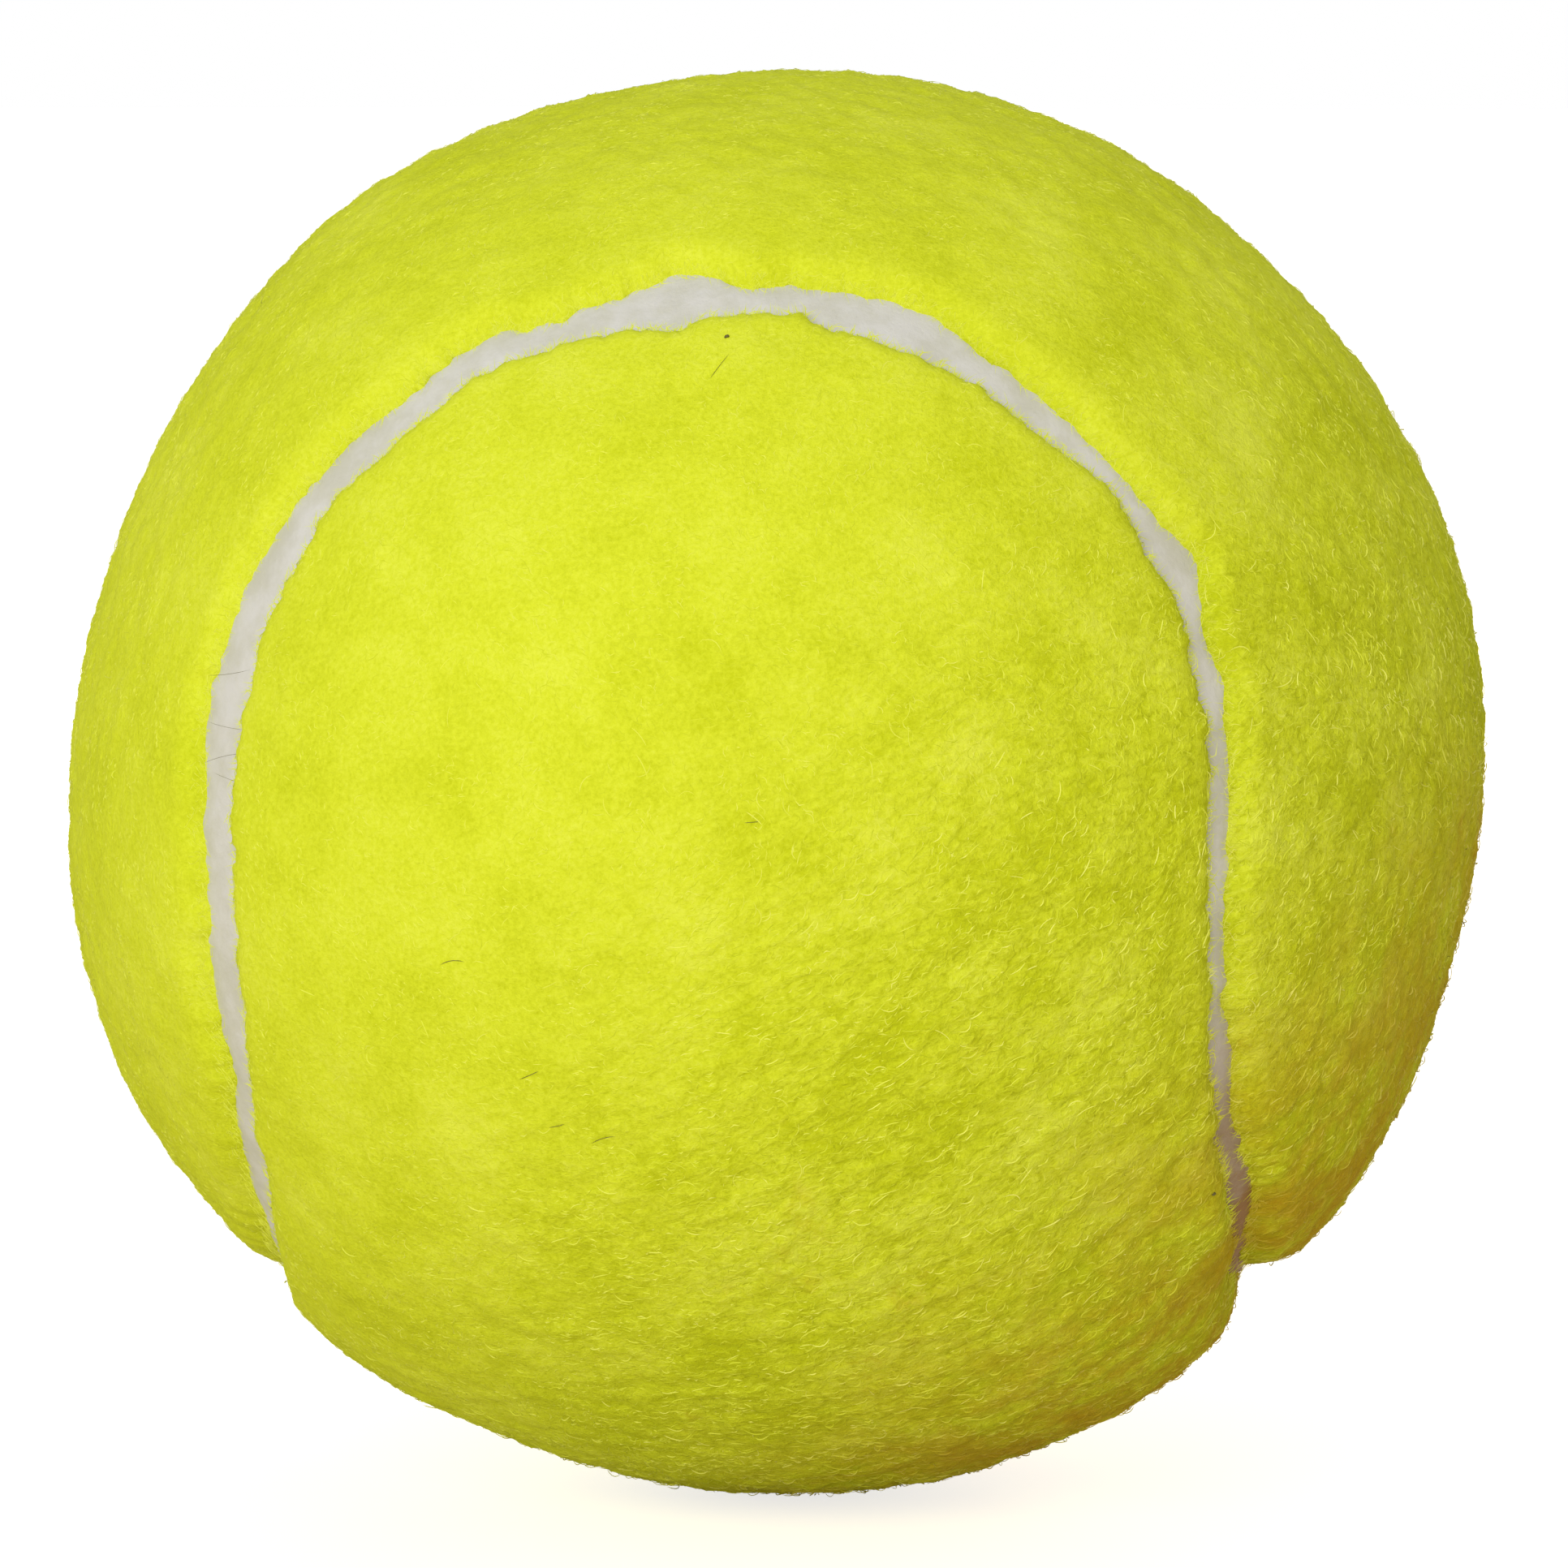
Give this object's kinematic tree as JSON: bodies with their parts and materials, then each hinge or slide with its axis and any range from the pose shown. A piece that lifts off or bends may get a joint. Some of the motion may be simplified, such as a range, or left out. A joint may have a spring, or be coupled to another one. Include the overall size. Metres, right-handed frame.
{
  "type": "tennis ball",
  "caption": "Hollow rubber ball under a yellow felt cover of two interlocking panels, with a recessed rubber seam; it bounces, rolls and is struck or thrown.",
  "frame": {"origin": "the ball's centre", "axes": "+Z towards the middle of the top panel's waist, +X towards one of the top panel's two lobes, +Y towards one of the bottom panel's two lobes; the picture was taken from the -Y side"},
  "size_m": [0.067, 0.067, 0.067],
  "materials": {
    "core_rubber": "matt, moulded",
    "cement": "matt, cured rubber cement",
    "backing_cloth": "plain woven cotton",
    "felt_nap": "raised wool and nylon nap",
    "seam_rubber": "matt, slightly rough"
  },
  "bodies": {
    "root": {"core_half_lower": "core_rubber", "core_half_upper": "core_rubber", "core_joint": "cement", "cover_cement": "cement", "top_panel_backing": "backing_cloth", "bottom_panel_backing": "backing_cloth", "top_panel_nap": "felt_nap", "bottom_panel_nap": "felt_nap", "seam": "seam_rubber"}
  },
  "joints": []
}
